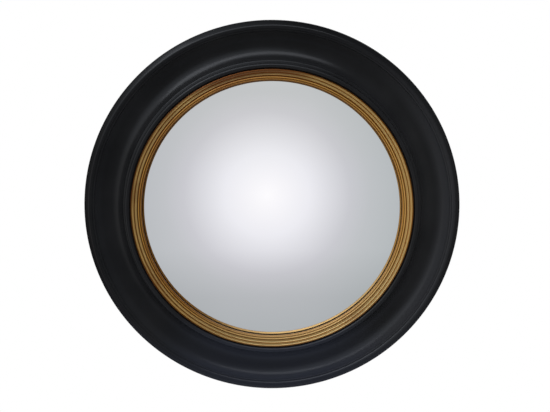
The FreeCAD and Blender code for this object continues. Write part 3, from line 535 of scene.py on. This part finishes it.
# %% Plywood and pine
def bare_wood(name, light, dark, roughness, grain=(60.0, 60.0, 3.0)):
    """Wood whose grain runs along Z, between a light and a dark colour."""
    material, tree, shader = new_finish(name)
    place = add(tree, "TexCoord").outputs["Object"]
    along = add(tree, "Mapping", Vector=place, Scale=grain).outputs["Vector"]
    figure = add(tree, "TexNoise", Vector=along, Scale=4.0, Detail=6.0, Distortion=0.6).outputs["Fac"]
    fibres = add(tree, "TexNoise", Vector=along, Scale=40.0, Detail=3.0).outputs["Fac"]
    both = mix(tree, 0.35, figure, fibres)
    tree.links.new(colours(tree, both, [(0.35, dark), (0.65, light)]), shader.inputs["Base Color"])
    tree.links.new(spread(tree, fibres, roughness - 0.08, roughness + 0.08), shader.inputs["Roughness"])
    bump = add(tree, "Bump", Strength=0.3, Distance=0.0001, Height=both)
    tree.links.new(bump.outputs["Normal"], shader.inputs["Normal"])
    return material


dress(nodes["back_ring"], bare_wood("blackened_ply", (0.022, 0.021, 0.021), (0.009, 0.009, 0.009), 0.6))
dress(nodes["backboard"], bare_wood("backing_board", (0.50, 0.34, 0.19), (0.30, 0.18, 0.085), 0.62))
dress(nodes["glass_blocks"], bare_wood("softwood", (0.62, 0.45, 0.25), (0.45, 0.28, 0.12), 0.65))

# %% [markdown]
# ## Brass and zinc
# The hardware is stamped or turned. Its finish has fine scratches in one direction, which a noise
# stretched along one axis gives, and a slow stain that dulls it in patches. The turn buttons are
# handled, so their brass is duller than that of the screws they turn on.

# %% Brass and zinc
def worn_metal(name, bright, dull, smooth, rough):
    """Metal with fine scratches and slow tarnish."""
    material, tree, shader = new_finish(name)
    place = add(tree, "TexCoord").outputs["Object"]
    tarnish = add(tree, "TexNoise", Vector=place, Scale=160.0, Detail=4.0).outputs["Fac"]
    along = add(tree, "Mapping", Vector=place, Scale=(1.0, 1.0, 14.0)).outputs["Vector"]
    scratches = add(tree, "TexNoise", Vector=along, Scale=700.0, Detail=2.0).outputs["Fac"]
    tree.links.new(colours(tree, tarnish, [(0.35, dull), (0.6, bright)]), shader.inputs["Base Color"])
    tree.links.new(spread(tree, tarnish, rough, smooth), shader.inputs["Roughness"])
    bump = add(tree, "Bump", Strength=0.15, Distance=0.00003, Height=scratches)
    tree.links.new(bump.outputs["Normal"], shader.inputs["Normal"])
    shader.inputs["Metallic"].default_value = 1.0
    return material


button_brass = worn_metal("brass_buttons", (0.78, 0.60, 0.28), (0.45, 0.31, 0.12), 0.26, 0.42)
screw_brass = worn_metal("brass_screws", (0.82, 0.64, 0.32), (0.50, 0.36, 0.15), 0.20, 0.34)
zinc = worn_metal("zinc_steel", (0.66, 0.67, 0.68), (0.42, 0.43, 0.45), 0.24, 0.40)
for name in nodes:
    if name.startswith("turn_button"):
        dress(nodes[name], button_brass)
dress(nodes["button_screws"], screw_brass)
for name in ("hanger_plate", "hanger_screws", "ring_screws", "slip_pins"):
    dress(nodes[name], zinc)

# %% [markdown]
# ## Rubber and felt
# These two have no direction, so a noise that is the same every way is enough: rubber gets a soft
# speckle, and felt a dense fuzz in its bump. Felt is also fully rough, since its fibres point all ways.

# %% Rubber and felt
def speckled(name, light, dark, roughness, scale, depth):
    """A dull material with a fine speckle and bump."""
    material, tree, shader = new_finish(name)
    place = add(tree, "TexCoord").outputs["Object"]
    speck = add(tree, "TexNoise", Vector=place, Scale=scale, Detail=4.0).outputs["Fac"]
    tree.links.new(colours(tree, speck, [(0.35, dark), (0.65, light)]), shader.inputs["Base Color"])
    tree.links.new(spread(tree, speck, roughness - 0.1, roughness), shader.inputs["Roughness"])
    bump = add(tree, "Bump", Strength=0.4, Distance=depth, Height=speck)
    tree.links.new(bump.outputs["Normal"], shader.inputs["Normal"])
    return material


rubber = speckled("rubber", (0.030, 0.030, 0.031), (0.016, 0.016, 0.017), 0.8, 900.0, 0.00005)
felt = speckled("felt", (0.035, 0.034, 0.034), (0.012, 0.012, 0.012), 1.0, 1600.0, 0.0003)
dress(nodes["bumper_left"], rubber)
dress(nodes["bumper_right"], rubber)
dress(nodes["seat_felt"], felt)

# %% [markdown]
# ## The camera
# The photograph looks down on the mirror by 11 degrees from about two and a quarter metres, a little
# more than five times its width. That distance is read from how much the near rings of the frame shift
# against the far ones. The lens follows from it: one pixel covers 1.12 mm at the mirror.

# %% Set up the camera
DISTANCE, ELEVATION = 2.24, math.radians(11)
PIXEL, PICTURE_WIDTH = 1.1178 * MM, 550
LOOK_AT = Vector((0.0034, -0.022, AXIS_HEIGHT + 0.0021))
camera_data = bpy.data.cameras.new("camera")
camera_data.sensor_width = 36.0
camera_data.lens = camera_data.sensor_width * DISTANCE / (PICTURE_WIDTH * PIXEL)
camera = bpy.data.objects.new("camera", camera_data)
towards_camera = Vector((0, -math.cos(ELEVATION), math.sin(ELEVATION)))
camera.location = LOOK_AT + towards_camera * DISTANCE
camera.rotation_euler = (-towards_camera).to_track_quat("-Z", "Y").to_euler()
bpy.context.collection.objects.link(camera)
bpy.context.scene.camera = camera
print("lens:", round(camera_data.lens, 1), "mm")

# %% [markdown]
# ## The room that the glass shows
# A convex mirror shows the whole room in front of it, and here that room is a bright soft patch that
# fades to grey. An image of a room on the world would do it too, but a ramp needs no file and has no
# edges: the angle between a ray and the patch's middle picks the colour.

# %% Build the bright room
world = bpy.data.worlds.new("studio")
bpy.context.scene.world = world
world.use_nodes = True
room = world.node_tree
background = room.nodes["Background"]
direction = add(room, "TexCoord").outputs["Generated"]
PATCH_AZIMUTH, PATCH_ELEVATION = math.radians(-1.5), math.radians(-6)
patch = (
    math.sin(PATCH_AZIMUTH) * math.cos(PATCH_ELEVATION),
    -math.cos(PATCH_AZIMUTH) * math.cos(PATCH_ELEVATION),
    math.sin(PATCH_ELEVATION),
)
angle = add(room, "Math", {"operation": "ARCCOSINE"}, Value=lean(room, direction, patch)).outputs["Value"]
fade = add(room, "MapRange", Value=angle, From_Max=math.radians(48)).outputs["Result"]
bright_room = colours(room, fade, [
    (0.0, (1.0, 0.985, 1.0)),
    (0.25, (0.855, 0.850, 0.890)),
    (0.5, (0.610, 0.608, 0.645)),
    (0.62, (0.555, 0.567, 0.590)),
    (1.0, (0.462, 0.492, 0.506)),
])
print("middle of the patch:", [round(part, 3) for part in patch])

# %% [markdown]
# The room is darker at the floor than at the ceiling, and darker on the right than on the left. Two more
# ramps say so, and the patch is multiplied by them. They hardly show from the front, but from a side the
# glass reaches these parts of the room, and their shading follows its bulge.

# %% Shade the room up and down and from side to side
sides = add(room, "SeparateXYZ", Vector=direction).outputs


def by_direction(axis, stops):
    """Colours by how far a direction points along an axis: 0 against it, 0.5 across it, 1 along it."""
    share = add(room, "MapRange", Value=sides[axis], From_Min=-1.0).outputs["Result"]
    return colours(room, share, stops)


floor_to_ceiling = by_direction("Z", [
    (0.0, (0.58, 0.57, 0.56)),
    (0.11, (0.87, 0.87, 0.87)),
    (0.20, (0.87, 0.87, 0.87)),
    (0.31, (1, 1, 1)),
    (0.50, (1, 1, 1)),
    (0.70, (1, 1, 0.97)),
    (1.0, (1.5, 1.5, 1.5)),
])
left_to_right = by_direction("X", [
    (0.0, (1.35, 1.35, 1.35)),
    (0.20, (0.965, 0.965, 0.965)),
    (0.38, (1, 1, 1)),
    (0.59, (1, 1, 1)),
    (0.80, (0.92, 0.94, 0.925)),
    (1.0, (0.70, 0.71, 0.72)),
])
for shade in (floor_to_ceiling, left_to_right):
    bright_room = combine(room, "VectorMath", "MULTIPLY", bright_room, shade)
print("nodes of the bright room:", len(room.nodes))

# %% [markdown]
# ## The room for satin surfaces
# A satin surface blurs the room and would turn milky in a bright one, so it gets a dim room of its own.
# That room is lighter where the black frame shows a soft sheen: from the left, from below, through a
# window at the upper left, and from behind for the metal on the back. Each light is a glow that grows as a
# direction leans its way.

# %% Light the dim room
def glow(nearness, colour):
    """Light of a colour, scaled by how near a direction is to where it comes from."""
    return add(room, "VectorMath", {"operation": "SCALE"}, Vector=colour, Scale=nearness).outputs["Vector"]


def lit_by(light, *glows):
    """A light with glows added to it."""
    for extra in glows:
        light = combine(room, "VectorMath", "ADD", light, extra)
    return light


WINDOW_SIDE = (-0.46, -0.56, 0.69)
in_front = add(room, "MapRange", Value=sides["Y"], From_Min=0.15, From_Max=-0.3).outputs["Result"]
left_glow = glow(rise(room, sides["X"], -0.45, -1.0), (0.56, 0.56, 0.57))
dim_room = lit_by(
    (0.050, 0.050, 0.050),
    glow(in_front, left_glow),
    glow(rise(room, sides["Z"], -0.45, -0.95), (0.15, 0.165, 0.23)),
    glow(rise(room, sides["Y"], 0.35, 0.95), (0.55, 0.55, 0.55)),
    glow(rise(room, lean(room, direction, WINDOW_SIDE), 0.68, 0.96), (0.60, 0.66, 0.75)),
)
print("nodes with the dim room:", len(room.nodes))

# %% [markdown]
# Rays that are scattered by a matt surface gather light from everywhere, so for them the room is an even
# grey with more from above, a bluish sky, and from the left. This stands for the light that walls and
# ceiling send back, and it is what shows the colour of the gold in the grooves.

# %% Light for matt surfaces
bounce = lit_by(
    (0.41, 0.41, 0.41),
    glow(rise(room, sides["Z"], 0.2, -0.7), (0.10, 0.12, 0.16)),
    glow(rise(room, sides["Z"], 0.1, 0.9), (0.85, 0.95, 1.22)),
    glow(rise(room, sides["X"], -0.1, -0.9), (0.55, 0.55, 0.56)),
)
print("nodes with the bounced light:", len(room.nodes))

# %% [markdown]
# Light Path says what kind of ray is asking. Rays from a sharp mirror see the bright room, blurred ones
# the dim room, and scattered ones the bounced light. Camera rays see plain white, which is the
# background of the picture, and adds no light to the mirror.

# %% Share the rooms out
rays = add(room, "LightPath").outputs
WHITE = (1, 1, 1, 1)
soft_rays = mix(room, rays["Is Diffuse Ray"], dim_room, bounce)
all_rays = mix(room, rays["Is Singular Ray"], soft_rays, bright_room)
white_rays = combine(room, "Math", "MAXIMUM", rays["Is Camera Ray"], rays["Is Transmission Ray"])
room.links.new(mix(room, white_rays, all_rays, WHITE), background.inputs["Color"])
print("nodes of the whole room:", len(room.nodes))

# %% [markdown]
# ## Lamps
# The long soft streaks in the cove are the reflections of two wide softboxes, one at the upper left and
# one above. Their places come from the frame itself: where the moulding's slope mirrors the camera's line
# of sight into a lamp, it shines. A wide and low lamp gives a streak that is long round the ring and
# narrow across it. A small fill beside the mirror and a card under it only lighten the shade, so they
# are kept out of reflections, and one more softbox lights the back.

# %% Hang the lamps
CENTRE = Vector((0, -0.03, AXIS_HEIGHT))


def softbox(name, azimuth, elevation, distance, width, height, brightness, colour=(1, 1, 1)):
    """A rectangular lamp aimed at the mirror. brightness 1 looks white when seen directly."""
    lamp = bpy.data.lights.new(name, "AREA")
    lamp.shape = "RECTANGLE"
    lamp.size, lamp.size_y = width, height
    lamp.energy = brightness * math.pi * width * height
    lamp.color = colour
    holder = bpy.data.objects.new(name, lamp)
    a, e = math.radians(azimuth), math.radians(elevation)
    away = Vector((math.sin(a) * math.cos(e), -math.cos(a) * math.cos(e), math.sin(e)))
    holder.location = CENTRE + away * distance
    holder.rotation_euler = (-away).to_track_quat("-Z", "Y").to_euler()
    holder.visible_camera = False
    bpy.context.collection.objects.link(holder)
    print(name, "at", [round(part, 2) for part in holder.location])
    return holder


DAYLIGHT, SKY = (0.93, 0.97, 1.05), (0.85, 0.93, 1.12)
softbox("softbox_left", -56, 48, 3.0, 1.7, 1.25, 2.6, DAYLIGHT)
softbox("strip_above", 3, 58, 3.0, 2.2, 1.05, 2.05, DAYLIGHT)
fill = softbox("fill_right", 60, 4, 0.345, 0.2, 0.2, 1.8)
softbox("softbox_behind", 160, 32, 3.0, 2.0, 1.6, 1.6)
card = softbox("card_below", 0, -68, 0.45, 0.5, 0.2, 1.6, SKY)
for lamp in (fill, card):
    lamp.visible_glossy = False

# %% [markdown]
# ## The floor
# The photograph shows only white, so the floor lies well below the mirror and ends before the camera's
# lowest line of sight meets it. From other sides it gives the mirror a ground and a soft shadow. Its
# glow for camera rays brings it up to the white of the background, and sheds no light on the mirror.

# %% Lay the floor
FLOOR_HEIGHT, FLOOR_SIZE, FLOOR_BACK = -0.78, 3.4, 0.9
bpy.ops.mesh.primitive_plane_add(size=FLOOR_SIZE, location=(0, FLOOR_BACK - FLOOR_SIZE / 2, FLOOR_HEIGHT))
floor = bpy.context.object
floor.name = "floor"
floor.visible_glossy = False
floor.visible_diffuse = False
pale, tree, shader = new_finish("pale_floor")
place = add(tree, "TexCoord").outputs["Object"]
dust = add(tree, "TexNoise", Vector=place, Scale=6.0).outputs["Fac"]
floor_colour = colours(tree, dust, [(0.3, (0.74, 0.74, 0.74)), (0.7, (0.78, 0.78, 0.78))])
tree.links.new(floor_colour, shader.inputs["Base Color"])
shader.inputs["Roughness"].default_value = 0.8
shader.inputs["Emission Color"].default_value = WHITE
to_camera = add(tree, "LightPath").outputs["Is Camera Ray"]
tree.links.new(combine(tree, "Math", "MULTIPLY", to_camera, 0.75), shader.inputs["Emission Strength"])
dress(floor, pale)

# %% [markdown]
# ## Finish
# The picture is shown with Blender's Standard view, which keeps each colour as it is written.

# %% Set the view and finish
bpy.context.scene.view_settings.view_transform = "Standard"
